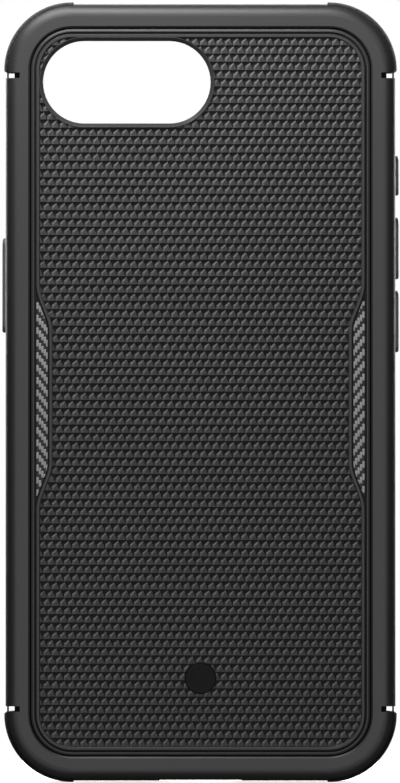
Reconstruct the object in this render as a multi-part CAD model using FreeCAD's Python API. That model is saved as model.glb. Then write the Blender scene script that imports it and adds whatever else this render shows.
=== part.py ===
import FreeCAD, Part
import math
import os

# Phone case standing upright on its two lower corner guards.
# +Z runs up the length, -Y is the back (camera side), +X is to the right seen from behind.
# Origin: bottom centre of the overall box. Millimetres.

# The phone that the case holds
PHONE_WIDTH = 71.5
PHONE_HEIGHT = 146.7
PHONE_DEPTH = 7.8

# Every outline is an offset of one rounded rectangle, named by its half width
PHONE_HALF = PHONE_WIDTH / 2
SLEEVE_HALF = PHONE_HALF + 1.0
FRAME_HALF = PHONE_HALF + 2.1
EXTRA_HALF_HEIGHT = (PHONE_HEIGHT - PHONE_WIDTH) / 2
CORNER_CENTRE_X = FRAME_HALF - 12.9

# Corner guards
GUARD_PROUD = 0.27
GUARD_INNER_HALF = FRAME_HALF - 0.55
GUARD_START_X = 24.7
GUARD_START_Z = 62.03
GUARD_END_CHAMFER = 0.4
GUARD_FRONT_ROUND = 0.5

# Depths, from the back face (-Y) to the screen lip (+Y)
CASE_DEPTH = 11.6
BACK_Y = -CASE_DEPTH / 2
FRONT_Y = CASE_DEPTH / 2
LIP_THICKNESS = 1.5
SEAT_Y = FRONT_Y - LIP_THICKNESS - PHONE_DEPTH
SLEEVE_BACK_Y = SEAT_Y - 1.1
FRAME_FRONT_Y = FRONT_Y - 1.2
PHONE_MID_Y = SEAT_Y + PHONE_DEPTH / 2
CUT = 1.0

# Bumper frame
BACK_ROUND = 2.5
GUARD_BACK_ROUND = 3.0
CORE_BEVEL = 0.6
FRAME_WINDOW_HALF = 33.15
WINDOW_BEVEL_WIDTH = 0.3
WINDOW_BEVEL_DEPTH = 0.23
FRAME_FRONT_BEVEL = 0.25

# Back plate
PLATE_HALF = 32.85
RIM_Y = BACK_Y + 0.25
RIM_BEVEL_WIDTH = 0.33
RIM_BEVEL_DEPTH = 0.18
RIM_INNER_HALF = 32.3
FIELD_Y = BACK_Y + 0.78
BORDER_Y = BACK_Y + 0.18
BORDER_HALF = 31.93
BORDER_WIDTH = 0.74
BORDER_BEVEL = 0.16

# Waist notches in the border, one each side, and the inlay strip in each
NOTCH_HALF = 29.45
NOTCH_TOP = (19.4, 13.1)
NOTCH_BOTTOM = (-21.4, -14.85)
NOTCH_OUTER_ROUND = 9.0
NOTCH_INNER_ROUND = 6.0
INLAY_OUTER_HALF = 31.86
INLAY_GAP = 0.24
INLAY_ENDS = (17.6, -20.25)
INLAY_INNER_ROUND = 6.2
INLAY_Y = BACK_Y + 0.42

# Camera opening, measured from the case centre
CAMERA_X = -14.3
CAMERA_UP = 60.15
CAMERA_HALF_WIDTH = 16.25
CAMERA_HALF_HEIGHT = 8.0
CAMERA_RIM = 0.76
CAMERA_RIM_BEVEL = 0.68

# Badge
BADGE_DOWN = 55.5
BADGE_RADIUS = 3.0
BADGE_POCKET_RADIUS = 3.1
BADGE_POCKET_Y = FIELD_Y + 0.15
BADGE_FACE_Y = BACK_Y + 0.42
BADGE_RING = (2.1, 1.8)
BADGE_RING_DEPTH = 0.12
BADGE_BEVEL = 0.12

# Buttons: side (-1 left, +1 right), height above the case centre, length
BUTTONS = {
    "power_button": (-1, 20.8, 18.5),
    "action_button": (1, 42.1, 7.8),
    "volume_up_button": (1, 28.0, 12.1),
    "volume_down_button": (1, 13.8, 12.1),
}
BUTTON_WIDTH = 3.2
BUTTON_PROUD = 0.67
BUTTON_ROUND = 0.4
BUTTON_CLEARANCE = 0.15
FLANGE_OVERHANG = 0.4
FLANGE_THICKNESS = 0.35
FLANGE_REST_GAP = 0.05
FLANGE_CLEARANCE = 0.25
NUB_LENGTH_RATIO = 0.45
NUB_WIDTH = 1.8
NUB_HEIGHT = 0.2

# Strap slits, one beside each corner
SLIT_LOW = 60.97
SLIT_HIGH = 62.03
SLIT_FRAME_HALF = 35.1
SLIT_SLEEVE_HALF = 36.1
BAR_THICKNESS = 0.27
BAR_BACK_Y = -2.4
BAR_FRONT_Y = FRAME_FRONT_Y - 0.6

# Screen lip and inside of the sleeve
LIP_OUTER_HALF = FRAME_HALF - 0.3
LIP_INNER_HALF = PHONE_HALF - 1.0
LIP_OUTER_ROUND = 0.6
LIP_INNER_BEVEL = 0.4
LINER_FIELD_HALF = 33.2
LINER_FIELD_DEPTH = 0.2
POCKET_ANGLES = (15, 35, 55, 75)
POCKET_DEPTH = 0.45
POCKET_WIDTH = 1.5
POCKET_SPAN = 5.2

# Bottom openings
PORT_HALF_WIDTH = 6.75
PORT_HALF_DEPTH = 3.3
PORT_ROUND = 2.4
PORT_RELIEF_HALF = 7.95
PORT_RELIEF_DEPTH = 0.17
SPEAKER_CENTRE_X = 16.6
SPEAKER_HALF_WIDTH = 5.4
SPEAKER_HALF_DEPTH = 1.0

CENTRE_Z = FRAME_HALF + EXTRA_HALF_HEIGHT + GUARD_PROUD
CASE_HALF_HEIGHT = FRAME_HALF + EXTRA_HALF_HEIGHT
TOLERANCE = 1e-4


def vector(x, y, z):
    return FreeCAD.Vector(x, y, z)


def box(x_range, y_range, z_range):
    """Block between two corners."""
    lows = [min(pair) for pair in (x_range, y_range, z_range)]
    spans = [abs(pair[1] - pair[0]) for pair in (x_range, y_range, z_range)]
    return Part.makeBox(spans[0], spans[1], spans[2], vector(*lows))


def rounded_rectangle(half_a, half_b, radius):
    """Closed wire in the XY plane about the origin."""
    near = (1 - math.sqrt(0.5)) * radius
    edges = []
    for turn in range(4):
        a, b = (half_a, half_b) if turn % 2 == 0 else (half_b, half_a)
        side_start = vector(a, -b + radius, 0)
        side_end = vector(a, b - radius, 0)
        middle = vector(a - near, b - near, 0)
        corner_end = vector(a - radius, b, 0)
        parts = [Part.Arc(side_end, middle, corner_end).toShape()]
        if side_start.distanceToPoint(side_end) > TOLERANCE:
            parts.insert(0, Part.LineSegment(side_start, side_end).toShape())
        for edge in parts:
            edge.rotate(vector(0, 0, 0), vector(0, 0, 1), 90 * turn)
            edges.append(edge)
    return Part.Wire(Part.__sortEdges__(edges))


def prism_along_y(half_width, half_height, radius, centre_x, centre_z, back_y, front_y):
    """Rounded bar with its section in XZ, from back_y to front_y."""
    face = Part.Face(rounded_rectangle(half_width, half_height, radius))
    face.rotate(vector(0, 0, 0), vector(1, 0, 0), 90)
    face.translate(vector(centre_x, back_y, centre_z))
    return face.extrude(vector(0, front_y - back_y, 0))


def case_slab(half_width, back_y, front_y):
    """Slab whose outline is the case outline offset to this half width."""
    half_height = half_width + EXTRA_HALF_HEIGHT
    radius = half_width - CORNER_CENTRE_X
    return prism_along_y(half_width, half_height, radius, 0, CENTRE_Z, back_y, front_y)


def stadium_through(grow, back_y, front_y):
    """Camera opening grown all round by one distance."""
    half_height = CAMERA_HALF_HEIGHT + grow
    return prism_along_y(CAMERA_HALF_WIDTH + grow, half_height, half_height,
                         CAMERA_X, CENTRE_Z + CAMERA_UP, back_y, front_y)


def polygon_prism(points, back_y, front_y):
    """Prism along Y over a polygon of (x, height above the case centre)."""
    corners = [vector(x, back_y, CENTRE_Z + up) for x, up in points]
    face = Part.Face(Part.makePolygon(corners + corners[:1]))
    return face.extrude(vector(0, front_y - back_y, 0))


def edges_in_plane(shape, y):
    """Edges that lie wholly in the plane at this depth."""
    found = []
    for edge in shape.Edges:
        bounds = edge.BoundBox
        if abs(bounds.YMin - y) < TOLERANCE and abs(bounds.YMax - y) < TOLERANCE:
            found.append(edge)
    return found


def edges_along_y(shape, inside_half):
    """Straight edges along Y that stand closer to the middle than inside_half."""
    found = []
    for edge in shape.Edges:
        bounds = edge.BoundBox
        upright = bounds.XLength < TOLERANCE and bounds.ZLength < TOLERANCE
        if upright and abs(bounds.XMin) < inside_half:
            found.append(edge)
    return found


def both_sides(shape):
    """The shape and its mirror image across the middle of the width."""
    return shape, shape.mirror(vector(0, 0, 0), vector(1, 0, 0))


def mirrored_low(shape):
    """Mirror image across the middle of the height."""
    return shape.mirror(vector(0, 0, CENTRE_Z), vector(0, 0, 1))


def four_corners(shape):
    """Copies of a top right shape at all four corners."""
    right, left = both_sides(shape)
    return right, left, mirrored_low(right), mirrored_low(left)


def prism_along_x(side, centre_z, length, width, inner_half, outer_half):
    """Rounded bar on one side wall, from inner_half out to outer_half."""
    radius = width / 2 - TOLERANCE
    face = Part.Face(rounded_rectangle(width / 2, length / 2, radius))
    face.rotate(vector(0, 0, 0), vector(1, 1, 1), 120)
    face.translate(vector(side * inner_half, PHONE_MID_Y, centre_z))
    return face.extrude(vector(side * (outer_half - inner_half), 0, 0))


def sleeve_core(front_y):
    """Block that the frame closes around: the outside of the sleeve's tray."""
    slab = case_slab(SLEEVE_HALF, SLEEVE_BACK_Y, front_y)
    return slab.makeChamfer(CORE_BEVEL, edges_in_plane(slab, SLEEVE_BACK_Y))


def bumper_block(half_width, round_over):
    """Outer block of the bumper, rounded over along its back edge."""
    slab = case_slab(half_width, BACK_Y, FRAME_FRONT_Y)
    return slab.makeFillet(round_over, edges_in_plane(slab, BACK_Y))


def corner_zone():
    """Top right corner region that a guard takes up, cut square to the rails."""
    return box((GUARD_START_X, FRAME_HALF + CUT), (BACK_Y - CUT, FRAME_FRONT_Y),
               (CENTRE_Z + GUARD_START_Z, CENTRE_Z + CASE_HALF_HEIGHT + CUT))


def strap_slit(inner_half):
    """Top right slit, from its inner end out past the side."""
    return box((inner_half, FRAME_HALF + CUT), (BACK_Y - CUT, FRONT_Y + CUT),
               (CENTRE_Z + SLIT_LOW, CENTRE_Z + SLIT_HIGH))


def strap_bar():
    """Thin web of the guard that bridges the top right slit."""
    return box((GUARD_INNER_HALF, GUARD_INNER_HALF + BAR_THICKNESS), (BAR_BACK_Y, BAR_FRONT_Y),
               (CENTRE_Z + SLIT_LOW, CENTRE_Z + SLIT_HIGH + GUARD_END_CHAMFER))


def bottom_cutters():
    """Charging port and the two slots beside it, through the bottom wall."""
    wall_low = -CUT
    wall_high = CENTRE_Z - PHONE_HALF - EXTRA_HALF_HEIGHT + CUT
    cutters = []
    shapes = ((0, PORT_HALF_WIDTH, PORT_HALF_DEPTH, PORT_ROUND),
              (-SPEAKER_CENTRE_X, SPEAKER_HALF_WIDTH, SPEAKER_HALF_DEPTH, SPEAKER_HALF_DEPTH - TOLERANCE),
              (SPEAKER_CENTRE_X, SPEAKER_HALF_WIDTH, SPEAKER_HALF_DEPTH, SPEAKER_HALF_DEPTH - TOLERANCE))
    for centre_x, half_width, half_depth, radius in shapes:
        face = Part.Face(rounded_rectangle(half_width, half_depth, radius))
        face.translate(vector(centre_x, PHONE_MID_Y, wall_low))
        cutters.append(face.extrude(vector(0, 0, wall_high - wall_low)))
    return cutters


def bumper_frame():
    """Hard outer frame: back flange, side walls, slits and button windows."""
    frame = bumper_block(FRAME_HALF, BACK_ROUND)
    frame = frame.makeChamfer(FRAME_FRONT_BEVEL, edges_in_plane(frame, FRAME_FRONT_Y))
    frame = frame.cut(sleeve_core(FRAME_FRONT_Y + CUT))
    window = case_slab(FRAME_WINDOW_HALF, BACK_Y, SLEEVE_BACK_Y + CUT)
    lead_in_end = BACK_Y + WINDOW_BEVEL_DEPTH
    lead_in = case_slab(FRAME_WINDOW_HALF + WINDOW_BEVEL_WIDTH, BACK_Y - CUT, lead_in_end)
    lead_in = lead_in.makeChamfer(WINDOW_BEVEL_DEPTH, WINDOW_BEVEL_WIDTH,
                                  edges_in_plane(lead_in, lead_in_end))
    frame = frame.cut([window, lead_in])
    frame = frame.cut([zone.cut(case_slab(GUARD_INNER_HALF, BACK_Y - CUT, FRAME_FRONT_Y + CUT))
                       for zone in four_corners(corner_zone())])
    frame = frame.cut(list(four_corners(strap_slit(SLIT_FRAME_HALF))))
    for side, up, length in BUTTONS.values():
        clear = 2 * BUTTON_CLEARANCE
        frame = frame.cut(prism_along_x(side, CENTRE_Z + up, length + clear, BUTTON_WIDTH + clear,
                                        PHONE_HALF, FRAME_HALF + CUT))
    relief = box((-PORT_RELIEF_HALF, PORT_RELIEF_HALF), (BACK_Y, FRAME_FRONT_Y),
                 (0, GUARD_PROUD + PORT_RELIEF_DEPTH))
    return frame.cut(bottom_cutters() + [relief]).removeSplitter()


def corner_guard():
    """Rubber pad over the top right corner, its lower end chamfered, with the strap web."""
    block = bumper_block(FRAME_HALF + GUARD_PROUD, GUARD_BACK_ROUND)
    block = block.makeFillet(GUARD_FRONT_ROUND, edges_in_plane(block, FRAME_FRONT_Y))
    band = block.cut(case_slab(GUARD_INNER_HALF, BACK_Y - CUT, FRAME_FRONT_Y + CUT))
    guard = band.common(corner_zone())
    outer = FRAME_HALF + GUARD_PROUD + TOLERANCE
    start = GUARD_START_Z - TOLERANCE
    wedge = polygon_prism([(outer, start), (outer, start + GUARD_END_CHAMFER),
                           (outer - 1.5 * GUARD_END_CHAMFER, start)],
                          BACK_Y - CUT, FRAME_FRONT_Y + CUT)
    return guard.cut(wedge).fuse(strap_bar()).removeSplitter()


def inner_sleeve():
    """Soft tray: floor, side walls, screen lip and the openings through them."""
    sleeve = sleeve_core(FRAME_FRONT_Y)
    lip = case_slab(LIP_OUTER_HALF, FRAME_FRONT_Y, FRONT_Y)
    lip = lip.makeFillet(LIP_OUTER_ROUND, edges_in_plane(lip, FRONT_Y))
    sleeve = sleeve.fuse(lip)
    mouth = case_slab(LIP_INNER_HALF, SEAT_Y, FRONT_Y)
    flare = case_slab(LIP_INNER_HALF + LIP_INNER_BEVEL, FRONT_Y - 2 * LIP_INNER_BEVEL, FRONT_Y)
    flare = flare.makeChamfer(LIP_INNER_BEVEL, edges_in_plane(flare, FRONT_Y - 2 * LIP_INNER_BEVEL))
    flare.translate(vector(0, LIP_INNER_BEVEL, 0))
    cavity = case_slab(PHONE_HALF, SEAT_Y, FRONT_Y - LIP_THICKNESS)
    field = case_slab(LINER_FIELD_HALF, SEAT_Y - LINER_FIELD_DEPTH, SEAT_Y + CUT)
    sleeve = sleeve.cut([mouth, flare, cavity, field, stadium_through(0, BACK_Y, SEAT_Y + CUT)])
    sleeve = sleeve.cut(bottom_cutters() + shock_pockets())
    sleeve = sleeve.cut(list(four_corners(strap_slit(SLIT_SLEEVE_HALF))))
    for side, up, length in BUTTONS.values():
        grow = 2 * (FLANGE_OVERHANG + FLANGE_CLEARANCE)
        sleeve = sleeve.cut(prism_along_x(side, CENTRE_Z + up, length + grow, BUTTON_WIDTH + grow,
                                          PHONE_HALF - CUT, FRAME_HALF - CUT))
    return sleeve.removeSplitter()


def shock_pockets():
    """Shallow air pockets in the sleeve's wall round each inside corner."""
    pockets = []
    reach = PHONE_HALF - CORNER_CENTRE_X
    for angle in POCKET_ANGLES:
        pocket = box((reach - CUT, reach + POCKET_DEPTH),
                     (PHONE_MID_Y - POCKET_SPAN / 2, PHONE_MID_Y + POCKET_SPAN / 2),
                     (-POCKET_WIDTH / 2, POCKET_WIDTH / 2))
        pocket.rotate(vector(0, 0, 0), vector(0, -1, 0), angle)
        pocket.translate(vector(CORNER_CENTRE_X, 0, CENTRE_Z + CORNER_CENTRE_X + EXTRA_HALF_HEIGHT))
        pockets.extend(four_corners(pocket))
    return pockets


def waist_prism(grow, reach, back_y, front_y):
    """Right hand waist notch out to reach, grown by one distance, its inner corners sharp."""
    run = BORDER_HALF - NOTCH_HALF
    points = []
    for (outer_up, inner_up), sign in ((NOTCH_TOP, 1), (NOTCH_BOTTOM, -1)):
        rise = abs(outer_up - inner_up)
        slant = math.hypot(run, rise)
        inner_half = NOTCH_HALF - grow
        at_inner = inner_up + sign * (grow * slant - grow * rise) / run
        at_reach = at_inner + sign * rise * (reach - inner_half) / run
        points.append(((reach, at_reach), (inner_half, at_inner)))
    top, bottom = points
    return polygon_prism([top[0], top[1], bottom[1], bottom[0]], back_y, front_y)


def notched_prism(back_y, front_y):
    """Outline of the raised border's outer edge, with a waist notch each side."""
    slab = case_slab(BORDER_HALF, back_y, front_y)
    notch = waist_prism(0, 2 * BORDER_HALF - NOTCH_HALF, back_y, front_y)
    notched = slab.cut(list(both_sides(notch)))
    inner = edges_along_y(notched, NOTCH_HALF + TOLERANCE)
    notched = notched.makeFillet(NOTCH_INNER_ROUND, inner)
    mouths = (CENTRE_Z + NOTCH_TOP[0], CENTRE_Z + NOTCH_BOTTOM[0])
    outer = [edge for edge in edges_along_y(notched, BORDER_HALF + TOLERANCE)
             if abs(edge.BoundBox.XMin) > BORDER_HALF - TOLERANCE
             and min(abs(edge.BoundBox.ZMin - height) for height in mouths) < CUT]
    return notched.makeFillet(NOTCH_OUTER_ROUND, outer)


def raised_border():
    """Narrow raised line that frames the textured field."""
    outer = notched_prism(BORDER_Y, FIELD_Y + CUT / 2)
    face = [item for item in outer.Faces if abs(item.CenterOfMass.y - BORDER_Y) < TOLERANCE][0]
    inner = face.makeOffset2D(-BORDER_WIDTH).extrude(vector(0, CUT, 0))
    ring = outer.cut(inner)
    ring = ring.cut(case_slab(PLATE_HALF, FIELD_Y, FIELD_Y + CUT))
    return ring.makeChamfer(BORDER_BEVEL, edges_in_plane(ring, BORDER_Y))


def badge_cylinder(radius, back_y, front_y):
    centre = vector(0, back_y, CENTRE_Z - BADGE_DOWN)
    return Part.makeCylinder(radius, front_y - back_y, centre, vector(0, 1, 0))


def back_plate():
    """Hard back plate: bevelled rim, raised border and the floor of the field."""
    plate = case_slab(PLATE_HALF, RIM_Y, SLEEVE_BACK_Y)
    plate = plate.makeChamfer(RIM_BEVEL_DEPTH, RIM_BEVEL_WIDTH, edges_in_plane(plate, RIM_Y))
    plate = plate.cut(case_slab(RIM_INNER_HALF, BACK_Y, FIELD_Y))
    plate = plate.fuse(raised_border())
    pocket = badge_cylinder(BADGE_POCKET_RADIUS, BACK_Y, BADGE_POCKET_Y)
    opening = stadium_through(CAMERA_RIM, BACK_Y - CUT, SEAT_Y)
    return plate.cut([pocket, opening]).removeSplitter()


def camera_rim():
    """Trim ring round the camera opening, bevelled down into it."""
    ring = stadium_through(CAMERA_RIM, BORDER_Y, SLEEVE_BACK_Y)
    hole = stadium_through(0, BORDER_Y - CUT, SLEEVE_BACK_Y + CUT)
    funnel = stadium_through(CAMERA_RIM_BEVEL, BORDER_Y - CAMERA_RIM_BEVEL, BORDER_Y + CAMERA_RIM_BEVEL)
    funnel = funnel.makeChamfer(CAMERA_RIM_BEVEL - TOLERANCE,
                                edges_in_plane(funnel, BORDER_Y + CAMERA_RIM_BEVEL))
    return ring.cut([hole, funnel])


def inlay():
    """Right hand strip that lies in the waist notch, its pointed ends cut square."""
    strip = waist_prism(-INLAY_GAP, INLAY_OUTER_HALF, INLAY_Y, FIELD_Y)
    corners = edges_along_y(strip, NOTCH_HALF + INLAY_GAP + TOLERANCE)
    strip = strip.makeFillet(INLAY_INNER_ROUND, corners)
    top, bottom = INLAY_ENDS
    return strip.common(box((0, FRAME_HALF), (BACK_Y, FIELD_Y), (CENTRE_Z + bottom, CENTRE_Z + top)))


def badge():
    """Plain round badge with one fine ring cut in its face."""
    disc = badge_cylinder(BADGE_RADIUS, BADGE_FACE_Y, BADGE_POCKET_Y)
    disc = disc.makeChamfer(BADGE_BEVEL, edges_in_plane(disc, BADGE_FACE_Y))
    ring = badge_cylinder(BADGE_RING[0], BADGE_FACE_Y - CUT, BADGE_FACE_Y + BADGE_RING_DEPTH)
    ring = ring.cut(badge_cylinder(BADGE_RING[1], BADGE_FACE_Y - CUT, BADGE_FACE_Y + BADGE_RING_DEPTH))
    return disc.cut(ring)


def button(side, up, length):
    """Cap with the flange that the frame holds in and the nub that presses inward."""
    centre_z = CENTRE_Z + up
    crown_half = FRAME_HALF + BUTTON_PROUD
    flange_outer = SLEEVE_HALF - FLANGE_REST_GAP
    flange_inner = flange_outer - FLANGE_THICKNESS
    cap = prism_along_x(side, centre_z, length, BUTTON_WIDTH, flange_inner, crown_half)
    crown = [edge for edge in cap.Edges
             if edge.BoundBox.XLength < TOLERANCE
             and abs(edge.BoundBox.XMin - side * crown_half) < TOLERANCE]
    cap = cap.makeFillet(BUTTON_ROUND, crown)
    grow = 2 * FLANGE_OVERHANG
    flange = prism_along_x(side, centre_z, length + grow, BUTTON_WIDTH + grow, flange_inner, flange_outer)
    nub = prism_along_x(side, centre_z, length * NUB_LENGTH_RATIO, NUB_WIDTH,
                        flange_inner - NUB_HEIGHT, flange_inner)
    return cap.fuse([flange, nub]).removeSplitter()


def build():
    """All nodes by name."""
    nodes = {
        "inner_sleeve": inner_sleeve(),
        "bumper_frame": bumper_frame(),
        "back_plate": back_plate(),
        "camera_rim": camera_rim(),
        "badge": badge(),
    }
    nodes["inlay_right"], nodes["inlay_left"] = both_sides(inlay())
    places = ("top_right", "top_left", "bottom_right", "bottom_left")
    for place, guard in zip(places, four_corners(corner_guard())):
        nodes["corner_guard_" + place] = guard
    for name, (side, up, length) in BUTTONS.items():
        nodes[name] = button(side, up, length)
    return nodes


def main():
    os.makedirs("parts", exist_ok=True)
    for name, shape in build().items():
        bounds = shape.optimalBoundingBox()
        print(name, "solids", len(shape.Solids), "valid", shape.isValid(),
              "volume %.2f" % shape.Volume,
              "x %.2f %.2f y %.2f %.2f z %.2f %.2f" % (bounds.XMin, bounds.XMax, bounds.YMin,
                                                       bounds.YMax, bounds.ZMin, bounds.ZMax))
        shape.exportStep("parts/" + name + ".step")


main()
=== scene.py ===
import math

import bmesh
import bpy
from bpy.props import FloatProperty, FloatVectorProperty, PointerProperty
from bpy.types import Operator, Panel, PropertyGroup
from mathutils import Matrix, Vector


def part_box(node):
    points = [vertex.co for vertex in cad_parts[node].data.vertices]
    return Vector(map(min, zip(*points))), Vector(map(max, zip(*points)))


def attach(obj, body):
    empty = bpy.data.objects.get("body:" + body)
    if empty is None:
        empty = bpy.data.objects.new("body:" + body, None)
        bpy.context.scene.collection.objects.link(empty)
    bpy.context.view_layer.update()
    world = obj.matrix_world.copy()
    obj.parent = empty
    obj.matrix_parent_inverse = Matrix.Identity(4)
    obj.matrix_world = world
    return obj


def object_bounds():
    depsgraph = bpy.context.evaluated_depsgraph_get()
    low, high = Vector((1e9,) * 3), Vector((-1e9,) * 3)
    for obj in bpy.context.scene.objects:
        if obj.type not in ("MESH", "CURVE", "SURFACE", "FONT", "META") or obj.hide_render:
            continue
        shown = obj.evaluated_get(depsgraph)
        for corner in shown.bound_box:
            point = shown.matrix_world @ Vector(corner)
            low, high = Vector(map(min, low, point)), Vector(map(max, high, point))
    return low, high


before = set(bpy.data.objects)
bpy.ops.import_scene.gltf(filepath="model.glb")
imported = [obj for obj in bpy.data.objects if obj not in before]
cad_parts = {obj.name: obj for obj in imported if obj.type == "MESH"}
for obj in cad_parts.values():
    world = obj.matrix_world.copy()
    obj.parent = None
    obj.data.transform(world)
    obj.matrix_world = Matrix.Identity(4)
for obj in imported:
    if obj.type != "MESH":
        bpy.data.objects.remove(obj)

bl_info = {
    "name": "Phone Case Looks",
    "version": (1, 0, 0),
    "blender": (4, 5, 0),
    "location": "3D View > Sidebar > Phone Case",
    "description": "Scales, woven inlays, liner pads, finishes and studio for the phone case",
    "category": "Object",
}

MM = 0.001
CASE_BODY = "case"
BUTTON_NODES = ("power_button", "action_button", "volume_up_button", "volume_down_button")
CORNERS = ("top_left", "top_right", "bottom_left", "bottom_right")
CAD_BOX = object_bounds()
SENSOR_WIDTH = 36.0

# Corners nearer than this are one, and faces nearer than this in depth are level
WELD_DISTANCE = 0.0005 * MM
FIT_SLACK = 0.01 * MM

# How squarely a face looks along Y to count as flat, as a cosine
FLAT_COSINE = 0.999

# A scale's ridge from the lower left round: across and up in millimetres, and the share of the relief
RIDGE = ((0.40, 0.0, 1.0), (1.20, 0.0, 0.58), (1.02, 1.14, 0.70), (0.48, 0.52, 1.0))

# Height of a row over the pitch, where pads stand in a honeycomb
HEX_ROW = math.sqrt(3.0) / 2

# An edge begins and is fully rubbed where the surface bends by these cosines
EDGE_BEND = (0.98, 0.80)
EDGE_SAMPLES = 4

# Painted shade deep in a recess: what is left of the colour there, and how dull it is there
PAINTED_SHADE_TINT = 0.45
RECESS_ROUGHNESS = 0.97


# ---------------------------------------------------------------- settings

def length(name, about, default):
    """A length setting, in metres."""
    return FloatProperty(
        name=name, description=about, default=default, subtype="DISTANCE", unit="LENGTH", precision=5)


def offset(name, about, default):
    """A place measured from another, in metres."""
    return FloatVectorProperty(
        name=name, description=about, default=default, size=3, subtype="TRANSLATION", precision=5)


def power(name, about, default):
    """A light's power, in watts."""
    return FloatProperty(name=name, description=about, default=default, min=0.0, unit="POWER")


def strength(name, about, default):
    """The strength of a glow."""
    return FloatProperty(name=name, description=about, default=default, min=0.0)


def share(name, about, default):
    """A setting from 0 to 1."""
    return FloatProperty(name=name, description=about, default=default, min=0.0, max=1.0, subtype="FACTOR")


def colour(name, about, default):
    """A linear colour setting."""
    return FloatVectorProperty(
        name=name, description=about, default=default, size=3, min=0.0, max=1.0, subtype="COLOR")


class PhoneCaseScaleSettings(PropertyGroup):
    """Sizes of the scales on the back plate"""
    pitch: length("Pitch", "From one scale to the next along a row", 1.60 * MM)
    row_pitch: length("Row Pitch", "From one row to the next", 1.60 * MM)
    row_shift: length("Row Shift", "How far every other row stands to the right", 0.80 * MM)
    first_x: length("First X", "Left corner of the first scale, from the plate's left edge", -0.88 * MM)
    first_z: length("First Z", "Foot of the first row, from the plate's lower edge", 0.17 * MM)
    width: length("Width", "Width of a scale at its foot", 1.57 * MM)
    tip_x: length("Tip X", "How far the tip stands to the right of the left corner", 0.97 * MM)
    tip_height: length("Tip Height", "Height of the tip over the foot", 1.42 * MM)
    shoulder_x: length("Shoulder X", "How far the left side leans to the right", 0.03 * MM)
    shoulder_height: length("Shoulder Height", "Height of the left side", 0.70 * MM)
    relief: length("Relief", "How far a scale's ridge stands off the field", 0.50 * MM)
    side_relief: length("Side Relief", "How far the left side stands off the field", 0.32 * MM)
    right_relief: length("Right Relief", "How far the right corner stands off the field", 0.18 * MM)
    tip_relief: length("Tip Relief", "How far the tip stands off the field", 0.27 * MM)
    embed: length("Embed", "How deep the scales are rooted in the plate", 0.05 * MM)


class PhoneCaseWeaveSettings(PropertyGroup):
    """Sizes of the twill on the inlays"""
    column: length("Column", "Width of one column of the weave", 0.47 * MM)
    repeat: length("Repeat", "Height of one light and one dark float", 2.42 * MM)
    step: length("Step", "How far each inner column is lowered", 0.61 * MM)
    left_drop: length(
        "Left Drop", "From the left inlay's top to a light float of its first column", 0.84 * MM)
    right_drop: length(
        "Right Drop", "From the right inlay's top to a light float of its first column", 0.17 * MM)
    light_share: share("Light Share", "How much of the repeat a light float fills", 0.53)
    dark_share: share("Dark Share", "How much of the repeat a dark float fills", 0.23)
    light_relief: length("Light Relief", "How far a light float is raised", 0.085 * MM)
    dark_relief: length("Dark Relief", "How far a dark float is raised", 0.045 * MM)
    embed: length("Embed", "How deep the floats are rooted in the inlay", 0.03 * MM)


class PhoneCaseLinerSettings(PropertyGroup):
    """Sizes of the soft pads inside the sleeve"""
    pitch: length("Pitch", "From one pad to the next", 3.1 * MM)
    radius: length("Radius", "From a pad's middle to its corners", 1.5 * MM)
    relief: length("Relief", "How far a pad stands off the recess", 0.19 * MM)
    embed: length("Embed", "How deep a pad is rooted in the sleeve", 0.05 * MM)
    margin: length("Margin", "Free strip round the edge of the recess", 0.35 * MM)


class PhoneCaseFinishSettings(PropertyGroup):
    """Colours of the pieces"""
    frame_colour: colour("Frame", "Hard frame", (0.024, 0.024, 0.024))
    plate_colour: colour("Plate", "Back plate", (0.038, 0.038, 0.038))
    scale_colour: colour("Scales", "Textured field", (0.033, 0.033, 0.033))
    rim_colour: colour("Rim", "Ring round the camera opening", (0.050, 0.050, 0.050))
    guard_colour: colour("Guards", "Rubber corner guards", (0.015, 0.015, 0.015))
    sleeve_colour: colour("Sleeve", "Soft inner sleeve", (0.020, 0.020, 0.021))
    button_colour: colour("Buttons", "Button caps", (0.160, 0.160, 0.150))
    badge_colour: colour("Badge", "Round badge", (0.006, 0.006, 0.006))
    light_fibre: colour("Light Fibre", "Raised floats of the weave", (0.380, 0.380, 0.380))
    dark_fibre: colour("Dark Fibre", "Lower floats of the weave", (0.012, 0.012, 0.012))
    resin_colour: colour("Resin", "Clear coat under the weave", (0.015, 0.015, 0.015))
    wear: share("Edge Wear", "How much the edges are rubbed lighter", 0.25)


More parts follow.
